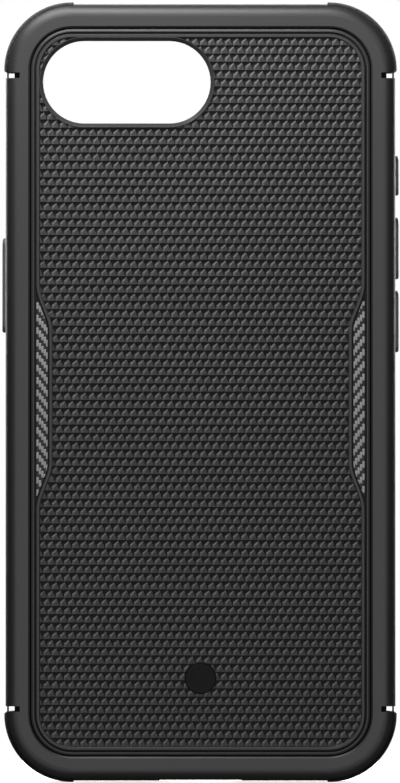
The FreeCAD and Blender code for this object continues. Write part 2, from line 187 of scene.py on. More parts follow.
class PhoneCaseStageSettings(PropertyGroup):
    """Camera, lights, floor and surround"""
    camera_distance: length("Camera Distance", "From the camera to the back face", 3.0)
    camera_aim: offset("Camera Aim", "Where the camera points, from the middle", (-0.1 * MM, 0.0, 0.126 * MM))
    view_height: length("View Height", "Height that the camera sees at the back face", 151.92 * MM)
    key_power: power("Key Power", "Soft light close over the top edge", 0.20)
    key_place: offset("Key Place", "Key light from the middle of the top edge", (-0.030, -0.058, 0.074))
    key_width: length("Key Width", "Long side of the key light", 0.13)
    key_height: length("Key Height", "Short side of the key light", 0.065)
    fill_power: power("Fill Power", "Broad light from the front", 8.0)
    fill_place: offset("Fill Place", "Fill light from the case's middle", (0.0, -1.2, 0.0))
    fill_size: length("Fill Size", "Side of the fill light", 1.6)
    rake_power: power("Rake Power", "Low light from the left, on the scales only", 3.0)
    rake_place: offset("Rake Place", "Rake light from the case's middle", (-0.45, -0.13, 0.30))
    rake_size: length("Rake Size", "Side of the rake light", 0.16)
    rear_power: power("Rear Power", "Wide soft light on the open side and the side walls", 17.0)
    rear_place: offset("Rear Place", "Rear light from the case's middle", (0.0, 0.60, 0.30))
    rear_width: length("Rear Width", "Long side of the rear light", 1.4)
    rear_height: length("Rear Height", "Short side of the rear light", 0.6)
    ambient: strength("Ambient", "Dim light from all round", 0.02)
    floor_size: length("Floor Size", "Side of the floor", 0.34)
    floor_colour: colour("Floor", "Pale floor", (0.86, 0.86, 0.86))
    floor_glow: strength("Floor Glow", "How much the floor shines towards the camera", 0.62)


# ---------------------------------------------------------------- shader nodes

def feed(tree, socket, value):
    """Links a socket into another, or sets it to a plain value."""
    if isinstance(value, bpy.types.NodeSocket):
        tree.links.new(value, socket)
    else:
        socket.default_value = value


def shader(tree, kind, at, **inputs):
    """Adds a shader node at a place in the editor, with socket values by name."""
    node = tree.nodes.new(kind)
    node.location = at
    for name, value in inputs.items():
        node.inputs[name.replace("_", " ")].default_value = value
    return node


def colour_mix(tree, at, factor, low, high):
    """Mixes two colours or colour sockets by a factor socket; returns the colour socket."""
    mix = tree.nodes.new("ShaderNodeMix")
    mix.location = at
    mix.data_type = "RGBA"
    tree.links.new(factor, mix.inputs["Factor"])
    for label, value in (("A", low), ("B", high)):
        linked = isinstance(value, bpy.types.NodeSocket)
        feed(tree, mix.inputs[label], value if linked else (*value, 1.0))
    return next(socket for socket in mix.outputs if socket.type == "RGBA")


def tinted(tint, times):
    """A colour made lighter or darker."""
    return [min(1.0, part * times) for part in tint]


def spread(tree, at, source, from_low, from_high, to_low, to_high):
    """Maps a value to a new span and returns its socket."""
    node = shader(tree, "ShaderNodeMapRange", at)
    node.inputs["From Min"].default_value = from_low
    node.inputs["From Max"].default_value = from_high
    node.inputs["To Min"].default_value = to_low
    node.inputs["To Max"].default_value = to_high
    tree.links.new(source, node.inputs["Value"])
    return node.outputs["Result"]


def maths(tree, operation, *values, at=(0, 0)):
    """A maths node on sockets or numbers; returns its socket."""
    node = tree.nodes.new("ShaderNodeMath")
    node.location = at
    node.operation = operation
    for socket, value in zip(node.inputs, values):
        feed(tree, socket, value)
    return node.outputs[0]


def even(size):
    """The scale of a pattern of one size on every axis."""
    return (1 / size,) * 3


def scaled_coordinates(tree, at, scale):
    """Object coordinates multiplied by a scale on each axis."""
    place = shader(tree, "ShaderNodeTexCoord", at)
    mapping = shader(tree, "ShaderNodeMapping", (at[0] + 180, at[1]), Scale=scale)
    tree.links.new(place.outputs["Object"], mapping.inputs["Vector"])
    return mapping.outputs["Vector"]


def noise(tree, at, vector, detail=2.0, roughness=0.5):
    """A noise pattern one unit across; returns its socket."""
    node = shader(tree, "ShaderNodeTexNoise", at, Scale=1.0, Detail=detail, Roughness=roughness)
    tree.links.new(vector, node.inputs["Vector"])
    return node.outputs["Fac"]


def bump(tree, at, height, depth, normal=None):
    """A bump of a real depth; returns its normal socket."""
    node = shader(tree, "ShaderNodeBump", at, Strength=1.0, Distance=depth)
    tree.links.new(height, node.inputs["Height"])
    if normal is not None:
        tree.links.new(normal, node.inputs["Normal"])
    return node.outputs["Normal"]


def empty_material(name, tint):
    """A material with a Principled surface, ready for its pattern."""
    material = bpy.data.materials.new(name)
    material.use_nodes = True
    material.diffuse_color = (*tint, 1.0)
    tree = material.node_tree
    tree.nodes.clear()
    output = shader(tree, "ShaderNodeOutputMaterial", (900, 0))
    surface = shader(tree, "ShaderNodeBsdfPrincipled", (600, 0))
    tree.links.new(surface.outputs["BSDF"], output.inputs["Surface"])
    return material, tree, surface


def edge_mask(tree, at, radius):
    """White where a sharp edge is nearer than a radius."""
    rounded = shader(tree, "ShaderNodeBevel", at, Radius=radius)
    rounded.samples = EDGE_SAMPLES
    plain = shader(tree, "ShaderNodeNewGeometry", (at[0], at[1] - 160))
    product = tree.nodes.new("ShaderNodeVectorMath")
    product.operation = "DOT_PRODUCT"
    product.location = (at[0] + 180, at[1])
    tree.links.new(rounded.outputs["Normal"], product.inputs[0])
    tree.links.new(plain.outputs["Normal"], product.inputs[1])
    mask = spread(tree, (at[0] + 360, at[1]), product.outputs["Value"], *EDGE_BEND, 0.0, 1.0)
    return mask, rounded.outputs["Normal"]


def painted_shade_mask(tree, at, open_y, deep_y):
    """Mask of the painted recess shade: black on what stands proud, white down in the recesses."""
    place = shader(tree, "ShaderNodeTexCoord", at)
    split = shader(tree, "ShaderNodeSeparateXYZ", (at[0] + 180, at[1]))
    tree.links.new(place.outputs["Object"], split.inputs["Vector"])
    return spread(tree, (at[0] + 360, at[1]), split.outputs["Y"], open_y, deep_y, 0.0, 1.0)


def paint_recess_shade(tree, shade, sheen, tint, recess):
    """Paints shade into the recesses, where little light gets in: darker colour and duller roughness; returns
    colour and roughness.
    """
    deep = painted_shade_mask(tree, (-900, 600), *recess)
    shaded_colour = colour_mix(tree, (300, 300), deep, shade, tinted(tint, PAINTED_SHADE_TINT))
    dullness = spread(tree, (100, 500), deep, 0.0, 1.0, 0.0, RECESS_ROUGHNESS)
    return shaded_colour, maths(tree, "MAXIMUM", sheen, dullness, at=(300, -60))


def moulded_finish(name, tint, grain, depth, gloss, wear, soften, specular=0.5, recess=None):
    """Moulded plastic: fine grain, cloudy gloss, edges rubbed a little lighter, and painted shade that makes
    the recesses dull and dark.
    """
    material, tree, surface = empty_material(name, tint)
    fine = noise(tree, (-900, -300), scaled_coordinates(tree, (-1300, -300), even(grain)), 3.0, 0.6)
    cloudy = noise(tree, (-900, 200), scaled_coordinates(tree, (-1300, 200), even(14.0 * MM)), 4.0, 0.55)
    mask, rounded = edge_mask(tree, (-900, -700), soften)
    patchy = spread(tree, (-600, -500), cloudy, 0.35, 0.7, 0.2, 1.0)
    rubbed = maths(tree, "MULTIPLY", mask, patchy, at=(-300, -600))
    base = colour_mix(tree, (-500, 200), cloudy, tinted(tint, 0.88), tinted(tint, 1.12))
    shade = colour_mix(tree, (100, 200), maths(tree, "MULTIPLY", rubbed, wear, at=(-120, -600)), base,
                       [part * 2.2 + 0.01 for part in tint])
    sheen = maths(tree, "MULTIPLY_ADD", cloudy, 0.10, gloss - 0.08, at=(-300, 0))
    sheen = maths(tree, "ADD", sheen, spread(tree, (-300, -150), fine, 0.3, 0.7, -0.03, 0.05), at=(0, -60))
    # Painted shade: the recesses get a darker colour and a duller finish
    if recess is not None:
        shade, sheen = paint_recess_shade(tree, shade, sheen, tint, recess)
    tree.links.new(shade, surface.inputs["Base Color"])
    tree.links.new(sheen, surface.inputs["Roughness"])
    tree.links.new(bump(tree, (300, -300), fine, depth, rounded), surface.inputs["Normal"])
    surface.inputs["Specular IOR Level"].default_value = specular
    return material


def rubber_finish(name, tint, grain, depth, roughness, speckle, specular, recess=None):
    """Rubber with an eroded grain: pits of two sizes, colour lighter on the high spots of the grain, and
    painted shade in the recesses when a span is given.
    """
    material, tree, surface = empty_material(name, tint)
    vector = scaled_coordinates(tree, (-1300, 0), even(grain))
    cells = shader(tree, "ShaderNodeTexVoronoi", (-900, 0), Scale=1.0, Randomness=1.0)
    cells.feature = "SMOOTH_F1"
    cells.inputs["Smoothness"].default_value = 0.35
    tree.links.new(vector, cells.inputs["Vector"])
    fine = noise(tree, (-900, -300), vector, 4.0, 0.7)
    height = maths(tree, "ADD", cells.outputs["Distance"], fine, at=(-600, -100))
    high_spot_tone = spread(tree, (-450, 200), height, 0.5, 1.3, 0.0, 1.0)
    shade = colour_mix(tree, (-300, 200), high_spot_tone, tinted(tint, 1 - speckle), tinted(tint, 1 + speckle))
    sheen = spread(tree, (-300, -50), height, 0.4, 1.4, roughness - 0.12, roughness + 0.08)
    # Painted shade: the recesses get a darker colour and a duller finish
    if recess is not None:
        shade, sheen = paint_recess_shade(tree, shade, sheen, tint, recess)
    tree.links.new(shade, surface.inputs["Base Color"])
    tree.links.new(sheen, surface.inputs["Roughness"])
    tree.links.new(bump(tree, (300, -300), height, depth), surface.inputs["Normal"])
    surface.inputs["Specular IOR Level"].default_value = specular
    return material


def fibre_finish(name, tint, along, gloss):
    """Fine fibres lying along one axis (0, 1 or 2) under a clear coat."""
    material, tree, surface = empty_material(name, tint)
    thread = 0.035 * MM
    stretch = 14.0
    scale = tuple(1 / (thread * (stretch if axis == along else 1.0)) for axis in range(3))
    fibres = noise(tree, (-700, 0), scaled_coordinates(tree, (-1100, 0), scale), 2.0, 0.6)
    strands = spread(tree, (-500, 200), fibres, 0.3, 0.7, 0.0, 1.0)
    shade = colour_mix(tree, (-300, 200), strands, tinted(tint, 0.72), tinted(tint, 1.28))
    sheen = spread(tree, (-300, -50), fibres, 0.3, 0.7, gloss - 0.06, gloss + 0.08)
    tree.links.new(shade, surface.inputs["Base Color"])
    tree.links.new(sheen, surface.inputs["Roughness"])
    tree.links.new(bump(tree, (300, -300), fibres, 0.006 * MM), surface.inputs["Normal"])
    surface.inputs["Specular IOR Level"].default_value = 0.5
    return material


def lacquer_finish(name, tint, specular):
    """Deep black lacquer with faint upright hairlines."""
    material, tree, surface = empty_material(name, tint)
    hair_scale = (1 / (0.05 * MM), 1 / MM, 1 / (1.5 * MM))
    hairs = noise(tree, (-700, 0), scaled_coordinates(tree, (-1100, 0), hair_scale), 2.0, 0.6)
    cloudy = noise(tree, (-700, 300), scaled_coordinates(tree, (-1100, 300), even(2.5 * MM)), 3.0, 0.5)
    shade = colour_mix(tree, (-300, 200), cloudy, tinted(tint, 0.7), tinted(tint, 1.4))
    sheen = spread(tree, (-300, -50), hairs, 0.3, 0.7, 0.30, 0.42)
    tree.links.new(shade, surface.inputs["Base Color"])
    tree.links.new(sheen, surface.inputs["Roughness"])
    tree.links.new(bump(tree, (300, -300), hairs, 0.002 * MM), surface.inputs["Normal"])
    surface.inputs["Specular IOR Level"].default_value = specular
    return material


def give(node, material):
    """Puts a finish on a CAD node."""
    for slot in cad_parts[node].material_slots:
        slot.material = material


# ---------------------------------------------------------------- mesh work

def merged_copy(node):
    """A bmesh of a CAD node with its triangles joined."""
    shape = bmesh.new()
    shape.from_mesh(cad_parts[node].data)
    bmesh.ops.remove_doubles(shape, verts=shape.verts, dist=WELD_DISTANCE)
    shape.verts.index_update()
    shape.faces.index_update()
    return shape


def island_of(start, allowed):
    """Every face that is reached from one face through allowed faces."""
    found = {start}
    waiting = [start]
    while waiting:
        face = waiting.pop()
        for edge in face.edges:
            for other in edge.link_faces:
                if other in allowed and other not in found:
                    found.add(other)
                    waiting.append(other)
    return found


def total_area(faces):
    """The area of some faces together."""
    return sum(face.calc_area() for face in faces)


def spans(faces):
    """The X and Z spans of some faces, as (low x, high x, low z, high z)."""
    across = [vert.co.x for face in faces for vert in face.verts]
    up = [vert.co.z for face in faces for vert in face.verts]
    return min(across), max(across), min(up), max(up)


def by_number(item):
    """What faces and corners are sorted by, so that every run gives the same mesh."""
    return item.index


def widest_island(node, sign):
    """The largest flat patch of a CAD node that faces along Y, with the level patches inside its span.

    Returns the node's bmesh, and the patch's faces and corners in order.
    """
    shape = merged_copy(node)
    planes = {}
    for face in shape.faces:
        if face.normal.y * sign > FLAT_COSINE:
            planes.setdefault(round(face.calc_center_median().y / FIT_SLACK), set()).add(face)
    left = set(max(planes.values(), key=total_area))
    islands = []
    while left:
        islands.append(island_of(next(iter(left)), left))
        left -= islands[-1]
    widest = max(islands, key=total_area)
    outer = spans(widest)
    patch = set(widest)
    for island in islands:
        inner = spans(island)
        if all(inner[i] > outer[i] - FIT_SLACK and inner[i + 1] < outer[i + 1] + FIT_SLACK for i in (0, 2)):
            patch |= island
    corners = {vert for face in patch for vert in face.verts}
    return shape, sorted(patch, key=by_number), sorted(corners, key=by_number)


def patch_prism(name, node, sign, below, above):
    """A closed prism over the widest flat patch of a CAD node, from below its surface to above it."""
    shape, patch, corners = widest_island(node, sign)
    number = {vert: i for i, vert in enumerate(corners)}
    count = len(corners)
    surface_y = corners[0].co.y
    points = [(vert.co.x, y, vert.co.z) for y in (surface_y - sign * below, surface_y + sign * above)
              for vert in corners]
    inside = set(patch)
    faces = []
    for face in patch:
        ring = [number[vert] for vert in face.verts]
        faces.append([i + count for i in ring])
        faces.append(ring[::-1])
        for loop in face.loops:
            if sum(other in inside for other in loop.edge.link_faces) == 1:
                near, far = number[loop.vert], number[loop.link_loop_next.vert]
                faces.append([far + count, near + count, near, far])
    shape.free()
    mesh = bpy.data.meshes.new(name)
    mesh.from_pydata(points, [], faces)
    mesh.validate()
    return new_object(name, mesh), surface_y


def flat_patch(name, node, sign):
    """The widest flat patch of a CAD node as an open mesh, and its height along Y."""
    shape, patch, corners = widest_island(node, sign)
    number = {vert: i for i, vert in enumerate(corners)}
    points = [tuple(vert.co) for vert in corners]
    mesh = bpy.data.meshes.new(name)
    mesh.from_pydata(points, [], [[number[vert] for vert in face.verts] for face in patch])
    shape.free()
    return new_object(name, mesh), points[0][1]


def new_object(name, mesh):
    """Links a mesh to the scene at the origin."""
    made = bpy.data.objects.new(name, mesh)
    bpy.context.scene.collection.objects.link(made)
    return made


def solid_object(name, points, faces):
    """A closed mesh from points and faces, with its faces turned outwards."""
    shape = bmesh.new()
    corners = [shape.verts.new(point) for point in points]
    for face in faces:
        shape.faces.new([corners[i] for i in face])
    bmesh.ops.recalc_face_normals(shape, faces=shape.faces)
    mesh = bpy.data.meshes.new(name)
    shape.to_mesh(mesh)
    shape.free()
    return new_object(name, mesh)


def ring_faces(start, count):
    """The side faces between two rings of corners, the first of which begins at a number."""
    return [(start + k, start + (k + 1) % count, start + count + (k + 1) % count, start + count + k)
            for k in range(count)]


# ---------------------------------------------------------------- geometry nodes

def node_tree(name, inputs):
    """A geometry tree with named inputs, and its group input and output."""
    tree = bpy.data.node_groups.new(name, "GeometryNodeTree")
    tree.interface.new_socket("Geometry", in_out="INPUT", socket_type="NodeSocketGeometry")
    for label, kind in inputs:
        tree.interface.new_socket(label, in_out="INPUT", socket_type="NodeSocket" + kind)
    tree.interface.new_socket("Geometry", in_out="OUTPUT", socket_type="NodeSocketGeometry")
    return tree, tree.nodes.new("NodeGroupInput"), tree.nodes.new("NodeGroupOutput")


def step_node(tree, kind, **inputs):
    """Adds a geometry node, linking sockets and setting values by name."""
    node = tree.nodes.new(kind)
    for label, value in inputs.items():
        feed(tree, node.inputs[label.replace("_", " ")], value)
    return node


def vector_of(tree, x, y, z):
    """Joins three sockets or numbers into a vector."""
    node = tree.nodes.new("ShaderNodeCombineXYZ")
    for socket, value in zip(node.inputs, (x, y, z)):
        feed(tree, socket, value)
    return node.outputs[0]


def grid_points(tree, columns, rows):
    """Column and row numbers over a grid of points, as (points, column, row)."""
    count = maths(tree, "MULTIPLY", columns, rows)
    points = step_node(tree, "GeometryNodeMeshLine", Count=count)
    index = tree.nodes.new("GeometryNodeInputIndex").outputs[0]
    column = maths(tree, "FLOOR", maths(tree, "DIVIDE", maths(tree, "ADD", index, 0.5), rows))
    row = maths(tree, "SUBTRACT", index, maths(tree, "MULTIPLY", column, rows))
    return points.outputs["Mesh"], column, row


def odd_row(tree, row):
    """1 on every other row and 0 on the rest."""
    return maths(tree, "FLOOR", maths(tree, "MODULO", maths(tree, "ADD", row, 0.25), 2.0))


def vector_sum(tree, first, second):
    """Adds two vector sockets."""
    total = tree.nodes.new("ShaderNodeVectorMath")
    tree.links.new(first, total.inputs[0])
    tree.links.new(second, total.inputs[1])
    return total.outputs["Vector"]


def vector_times(tree, step, amount):
    """A vector socket taken a number of times."""
    scaled = tree.nodes.new("ShaderNodeVectorMath")
    scaled.operation = "SCALE"
    tree.links.new(step, scaled.inputs[0])
    tree.links.new(amount, scaled.inputs["Scale"])
    return scaled.outputs["Vector"]


def finish_tree(tree, geometry, material, output):
    """Ends a tree with real geometry and its material."""
    real = step_node(tree, "GeometryNodeRealizeInstances", Geometry=geometry)
    flat = step_node(tree, "GeometryNodeSetShadeSmooth", Geometry=real.outputs[0], Shade_Smooth=False)
    dressed = step_node(tree, "GeometryNodeSetMaterial", Geometry=flat.outputs[0], Material=material)
    tree.links.new(dressed.outputs[0], output.inputs["Geometry"])


def clipped_array_tree(name):
    """Copies of one closed shape on a staggered grid, cut to the solid that the tree is put on."""
    tree, source, output = node_tree(name, (
        ("Shape", "Object"), ("Columns", "Int"), ("Rows", "Int"), ("First", "Vector"),
        ("Column Step", "Vector"), ("Row Step", "Vector"), ("Odd Row Shift", "Vector"),
        ("Material", "Material")))
    points, column, row = grid_points(tree, source.outputs["Columns"], source.outputs["Rows"])
    place = source.outputs["First"]
    for amount, step in ((column, "Column Step"), (row, "Row Step"), (odd_row(tree, row), "Odd Row Shift")):
        place = vector_sum(tree, place, vector_times(tree, source.outputs[step], amount))
    placed = step_node(tree, "GeometryNodeSetPosition", Geometry=points, Position=place)
    shape = step_node(tree, "GeometryNodeObjectInfo", Object=source.outputs["Shape"])
    copies = step_node(tree, "GeometryNodeInstanceOnPoints", Points=placed.outputs[0],
                       Instance=shape.outputs["Geometry"])
    real = step_node(tree, "GeometryNodeRealizeInstances", Geometry=copies.outputs[0])
    cut = tree.nodes.new("GeometryNodeMeshBoolean")
    cut.operation = "INTERSECT"
    cut.solver = "MANIFOLD"
    tree.links.new(source.outputs["Geometry"], cut.inputs["Mesh 2"])
    tree.links.new(real.outputs[0], cut.inputs["Mesh 2"])
    finish_tree(tree, cut.outputs["Mesh"], source.outputs["Material"], output)
    return tree


def distance_to_rim(tree, patch):
    """How far each point is from the open edges of a patch."""
    rim = step_node(tree, "GeometryNodeDeleteGeometry", Geometry=patch)
    rim.domain = "EDGE"
    rim.mode = "EDGE_FACE"
    neighbours = tree.nodes.new("GeometryNodeInputMeshEdgeNeighbors").outputs[0]
    tree.links.new(maths(tree, "GREATER_THAN", neighbours, 1.5), rim.inputs["Selection"])
    near = tree.nodes.new("GeometryNodeProximity")
    near.target_element = "EDGES"
    tree.links.new(rim.outputs[0], near.inputs[0])
    return near.outputs["Distance"]


def honeycomb_tree(name):
    """Copies of one pad on a staggered grid, kept where a whole pad fits on the patch under the tree."""
    tree, source, output = node_tree(name, (
        ("Shape", "Object"), ("Columns", "Int"), ("Rows", "Int"), ("First", "Vector"),
        ("Pitch", "Float"), ("Clear", "Float"), ("Material", "Material")))
    patch = source.outputs["Geometry"]
    pitch = source.outputs["Pitch"]
    points, column, row = grid_points(tree, source.outputs["Columns"], source.outputs["Rows"])
    half_step = maths(tree, "MULTIPLY", odd_row(tree, row), 0.5)
    across = maths(tree, "MULTIPLY", maths(tree, "ADD", column, half_step), pitch)
    up = maths(tree, "MULTIPLY", maths(tree, "MULTIPLY", row, HEX_ROW), pitch)
    place = vector_sum(tree, source.outputs["First"], vector_of(tree, across, 0.0, up))
    placed = step_node(tree, "GeometryNodeSetPosition", Geometry=points, Position=place)
    ray = step_node(tree, "GeometryNodeRaycast", Target_Geometry=patch, Ray_Length=2 * MM,
                    Ray_Direction=(0.0, -1.0, 0.0))
    clear = maths(tree, "GREATER_THAN", distance_to_rim(tree, patch), source.outputs["Clear"])
    fits = maths(tree, "MULTIPLY", ray.outputs["Is Hit"], clear)
    shape = step_node(tree, "GeometryNodeObjectInfo", Object=source.outputs["Shape"])
    copies = step_node(tree, "GeometryNodeInstanceOnPoints", Points=placed.outputs[0],
                       Instance=shape.outputs["Geometry"], Selection=fits)
    finish_tree(tree, copies.outputs[0], source.outputs["Material"], output)
    return tree


def grow(name, base, tree, values, helpers):
    """Runs a tree on a base object and keeps the result as a plain mesh."""
    modifier = base.modifiers.new(name, "NODES")
    modifier.node_group = tree
    identifiers = {item.name: item.identifier for item in tree.interface.items_tree if item.in_out == "INPUT"}
    for label, value in values.items():
        modifier[identifiers[label]] = value
    depsgraph = bpy.context.evaluated_depsgraph_get()
    mesh = bpy.data.meshes.new_from_object(base.evaluated_get(depsgraph), depsgraph=depsgraph)
    base.modifiers.clear()
    base.data = mesh
    base.name = mesh.name = name
    for helper in helpers:
        bpy.data.objects.remove(helper)
    if not mesh.polygons:
        raise RuntimeError(name + " came out empty")
    return base


# ---------------------------------------------------------------- operators

def scale_shape(s, floor_y):
    """One bevelled scale: its root, outline and ridge, each of four corners from the lower left round."""
    outline = [(0.0, 0.0, s.side_relief), (s.width, 0.0, s.right_relief),
               (s.tip_x, s.tip_height, s.tip_relief), (s.shoulder_x, s.shoulder_height, s.side_relief)]
    ridge = [(across * MM, up * MM, part * s.relief) for across, up, part in RIDGE]
    points = [(x, floor_y + s.embed, z) for x, z, _ in outline]
    points += [(x, floor_y - rise, z) for x, z, rise in outline + ridge]
    faces = [(0, 1, 2, 3), *ring_faces(0, 4), *ring_faces(4, 4), (8, 9, 10, 11)]
    return solid_object("scale_shape", points, faces)


class PHONECASE_OT_scales(Operator):
    """Covers the plate's field with staggered scales"""
    bl_idname = "phonecase.scales"
    bl_label = "Scale Field"

    def execute(self, context):
        s = context.scene.phonecase_scales
        field, floor_y = patch_prism("scale_field", "back_plate", -1, 2 * s.embed, 1.4 * s.relief)
        scale = scale_shape(s, floor_y)
        low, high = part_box("back_plate")
        made = grow("scale_field", field, clipped_array_tree("staggered_scales"), {
            "Shape": scale,
            "Material": bpy.data.materials["scale_finish"],
            "Columns": math.ceil((high.x - low.x - s.first_x) / s.pitch) + 1,
            "Rows": math.ceil((high.z - low.z - s.first_z) / s.row_pitch) + 1,
            "First": (low.x + s.first_x, 0.0, low.z + s.first_z),
            "Column Step": (s.pitch, 0.0, 0.0),
            "Row Step": (0.0, 0.0, s.row_pitch),
            "Odd Row Shift": (s.row_shift, 0.0, 0.0)}, [scale])
        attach(made, CASE_BODY)
        return {"FINISHED"}


def pillow(name, half_x, half_z, low, high):
    """A closed bar with rounded-over edges and cut corners, standing from low to high along Y."""
    rise = high - low
    rings = ((1.0, 1.0, low), (1.0, 1.0, low + rise * 0.35),
             (0.80, 0.86, low + rise * 0.8), (0.45, 0.6, high))
    corner_cut = 0.3
    points = []
    for across, along, y in rings:
        x, z, cut = half_x * across, half_z * along, corner_cut * half_x * across
        points += [(x - cut, y, z), (x, y, z - cut), (x, y, cut - z), (x - cut, y, -z),
                   (cut - x, y, -z), (-x, y, cut - z), (-x, y, z - cut), (cut - x, y, z)]
    faces = [tuple(range(8))]
    for ring in range(len(rings) - 1):
        faces += ring_faces(8 * ring, 8)
    faces.append(tuple(range(8 * len(rings) - 8, 8 * len(rings))))
    return solid_object(name, points, faces)


class PHONECASE_OT_weave(Operator):
    """Lays the light and dark floats of the twill on both inlays"""
    bl_idname = "phonecase.weave"
    bl_label = "Woven Inlays"

    def execute(self, context):
        s = context.scene.phonecase_weave
        colours = context.scene.phonecase_finish
        light = fibre_finish("light_fibre_finish", colours.light_fibre, 2, 0.34)
        dark = fibre_finish("dark_fibre_finish", colours.dark_fibre, 0, 0.40)
        resin = lacquer_finish("resin_finish", colours.resin_colour, 0.4)
        tree = clipped_array_tree("twill_floats")
        floats = (("warp", light, s.light_relief, s.light_share, 0.0),
                  ("weft_upper", dark, s.dark_relief, s.dark_share, 0.375),
                  ("weft_lower", dark, s.dark_relief, s.dark_share, 0.625))
        for side, sign, drop in (("left", -1, s.left_drop), ("right", 1, s.right_drop)):
            node = "inlay_" + side
            give(node, resin)
            low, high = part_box(node)
            outer_x = high.x if sign > 0 else low.x
            columns = math.ceil((high.x - low.x) / s.column) + 1
            lead = math.ceil(columns * s.step / s.repeat) + 1
            rows = math.ceil((high.z - low.z) / s.repeat) + lead + 2
            for kind, finish, relief, fill, phase in floats:
                strip, face_y = patch_prism("strip", node, -1, 2 * s.embed, 1.5 * relief)
                shape = pillow("float_shape", 0.485 * s.column, fill * s.repeat / 2, face_y + s.embed,
                               face_y - relief)
                made = grow(kind + "_" + side, strip, tree, {
                    "Shape": shape,
                    "Material": finish,
                    "Columns": columns,
                    "Rows": rows,
                    "First": (outer_x - sign * s.column / 2, 0.0, high.z - drop + s.repeat * (lead + phase)),
                    "Column Step": (-sign * s.column, 0.0, -s.step),
                    "Row Step": (0.0, 0.0, -s.repeat),
                    "Odd Row Shift": (0.0, 0.0, 0.0)}, [shape])
                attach(made, CASE_BODY)
        return {"FINISHED"}


def pad_shape(s):
    """One six-sided pad with a bevelled top, standing along Y."""
    angles = [math.pi * k / 3 for k in range(6)]
    points = []
    for radius, y in ((s.radius, -s.embed), (s.radius, s.relief * 0.6), (s.radius * 0.86, s.relief)):
        points += [(radius * math.sin(angle), y, radius * math.cos(angle)) for angle in angles]
    faces = [tuple(range(6)), *ring_faces(0, 6), *ring_faces(6, 6), tuple(range(12, 18))]
    return solid_object("pad_shape", points, faces)


class PHONECASE_OT_liner(Operator):
    """Sets the soft pads inside the sleeve"""
    bl_idname = "phonecase.liner"
    bl_label = "Liner Pads"

    def execute(self, context):
        s = context.scene.phonecase_liner
        patch, floor_y = flat_patch("liner_patch", "inner_sleeve", 1)
        pad = pad_shape(s)
        low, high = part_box("inner_sleeve")
        row_pitch = s.pitch * HEX_ROW
        columns = math.ceil((high.x - low.x) / s.pitch)
        first_z = low.z + (high.z - low.z) % (2 * row_pitch) / 2
        made = grow("liner_pads", patch, honeycomb_tree("honeycomb_pads"), {
            "Shape": pad,
            "Material": bpy.data.materials["sleeve_finish"],
            "Columns": columns,
            "Rows": math.ceil((high.z - low.z) / row_pitch),
            "First": (-s.pitch * (columns - 1) / 2, floor_y + WELD_DISTANCE, first_z),
            "Pitch": s.pitch,
            "Clear": s.radius + s.margin}, [pad])
        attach(made, CASE_BODY)
        return {"FINISHED"}


class PHONECASE_OT_shell(Operator):
    """Finishes the hard frame and the soft sleeve"""
    bl_idname = "phonecase.shell"
    bl_label = "Frame and Sleeve"

    def execute(self, context):
        c = context.scene.phonecase_finish
        back_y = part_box("inner_sleeve")[0].y
        frame_finish = moulded_finish("frame_finish", c.frame_colour, 0.16 * MM, 0.006 * MM, 0.47, c.wear,
                                      soften=0.12 * MM, specular=0.74)
        # The sleeve's faces near its back, seen down the groove round the plate, get painted shade
        sleeve_finish = rubber_finish("sleeve_finish", c.sleeve_colour, 0.30 * MM, 0.012 * MM, 0.80, 0.15,
                                      specular=0.15, recess=(back_y + 0.5 * MM, back_y + 0.15 * MM))
        give("bumper_frame", frame_finish)
        give("inner_sleeve", sleeve_finish)
        return {"FINISHED"}


class PHONECASE_OT_guards(Operator):
    """Finishes the four rubber corner guards"""
    bl_idname = "phonecase.guards"
    bl_label = "Corner Guards"

    def execute(self, context):
        c = context.scene.phonecase_finish
        finish = rubber_finish("guard_finish", c.guard_colour, 0.55 * MM, 0.10 * MM, 0.70, 0.6, specular=0.22)
        for corner in CORNERS:
            give("corner_guard_" + corner, finish)
        return {"FINISHED"}


class PHONECASE_OT_plate(Operator):
    """Finishes the back plate, the scales, the camera rim and the badge"""
    bl_idname = "phonecase.plate"
    bl_label = "Plate, Rim and Badge"

    def execute(self, context):
        c = context.scene.phonecase_finish
        back_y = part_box("back_plate")[0].y
        # Painted shade on the field's floor between the scales and on the plate's low faces
        recess = (back_y + 0.42 * MM, back_y + 0.58 * MM)
        moulded_finish("scale_finish", c.scale_colour, 0.12 * MM, 0.004 * MM, 0.50, c.wear, soften=0.04 * MM,
                       recess=recess)
        plate_finish = moulded_finish("plate_finish", c.plate_colour, 0.12 * MM, 0.004 * MM, 0.42, c.wear,
                                      soften=0.05 * MM, recess=recess)
        rim_finish = moulded_finish("rim_finish", c.rim_colour, 0.20 * MM, 0.002 * MM, 0.34, c.wear,
                                    soften=0.08 * MM)
        give("back_plate", plate_finish)
        give("camera_rim", rim_finish)
        give("badge", lacquer_finish("badge_finish", c.badge_colour, 0.12))
        return {"FINISHED"}


class PHONECASE_OT_buttons(Operator):
    """Finishes the button caps"""
    bl_idname = "phonecase.buttons"
    bl_label = "Buttons"

    def execute(self, context):
        c = context.scene.phonecase_finish
        finish = moulded_finish("button_finish", c.button_colour, 0.10 * MM, 0.003 * MM, 0.36, c.wear,
                                soften=0.10 * MM)
        for node in BUTTON_NODES:
            give(node, finish)
        return {"FINISHED"}


def soft_light(name, watts, width, height, way, target):
    """A rectangular soft light some way off a point and aimed at it, unseen by the camera."""
    lamp = bpy.data.lights.new(name, "AREA")
    lamp.shape = "RECTANGLE"
    lamp.size = width
    lamp.size_y = height
    lamp.energy = watts
    made = bpy.data.objects.new(name, lamp)
    made.location = target + Vector(way)
    made.rotation_mode = "QUATERNION"
    made.rotation_quaternion = (-Vector(way)).to_track_quat("-Z", "Y")
    made.visible_camera = False
    bpy.context.scene.collection.objects.link(made)
    return made


